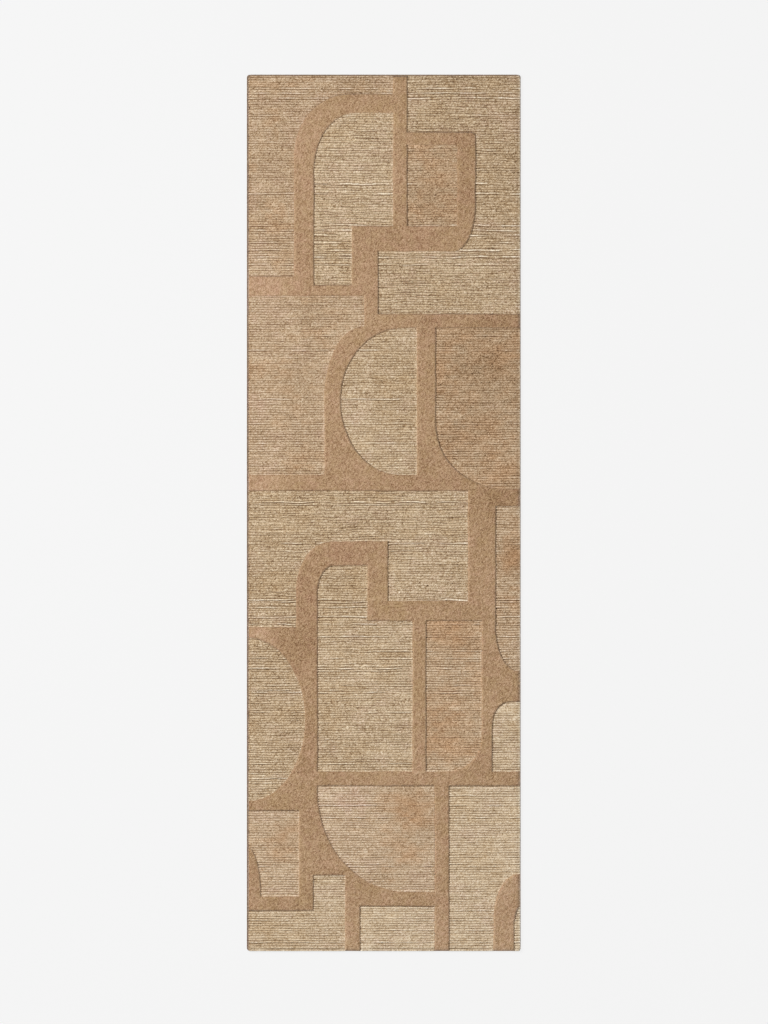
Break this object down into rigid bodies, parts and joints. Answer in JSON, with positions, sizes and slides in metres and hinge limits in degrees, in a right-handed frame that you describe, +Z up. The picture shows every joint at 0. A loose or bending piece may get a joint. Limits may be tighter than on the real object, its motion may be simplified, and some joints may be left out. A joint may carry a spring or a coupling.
{
  "type": "runner rug",
  "caption": "Long narrow floor rug with raised carved cut pile bands around recessed ribbed loop pile fields, on a bonded cloth backing with overcast edges.",
  "frame": {"origin": "middle of the underside, on the floor", "axes": "+Z up through the pile, +Y along the rug towards its arched end, +X across it to the right with the arched end at the top"},
  "size_m": [0.762, 2.438, 0.0135],
  "materials": {
    "backing_cloth": "coarse woven cloth",
    "latex": "matt latex coat",
    "foundation_cloth": "plain woven cloth",
    "cut_pile": "dense sheared cut pile, tan",
    "loop_pile": "ribbed loop pile, beige",
    "loop_pile_tawny": "ribbed loop pile, tawny beige",
    "edge_yarn": "overcast yarn"
  },
  "bodies": {
    "root": {"secondary_backing": "backing_cloth", "latex_coat": "latex", "primary_backing": "foundation_cloth", "cut_pile_network": "cut_pile", "cut_pile_corner_arc": "cut_pile", "loop_arch_outer": "loop_pile_tawny", "loop_arch_inner": "loop_pile", "loop_hook": "loop_pile", "loop_tile": "loop_pile_tawny", "loop_shoulder": "loop_pile_tawny", "loop_half_disc": "loop_pile", "loop_bay": "loop_pile_tawny", "loop_bridge": "loop_pile", "loop_stair": "loop_pile", "loop_upright": "loop_pile_tawny", "loop_sliver": "loop_pile", "loop_bowl": "loop_pile", "loop_right_tab": "loop_pile", "loop_sail": "loop_pile_tawny", "loop_left_tab": "loop_pile_tawny", "loop_lower_right": "loop_pile", "loop_boot": "loop_pile", "loop_sill": "loop_pile", "loop_corner_chip": "loop_pile", "binding_left": "edge_yarn", "binding_right": "edge_yarn", "binding_top": "edge_yarn", "binding_bottom": "edge_yarn"}
  },
  "joints": []
}
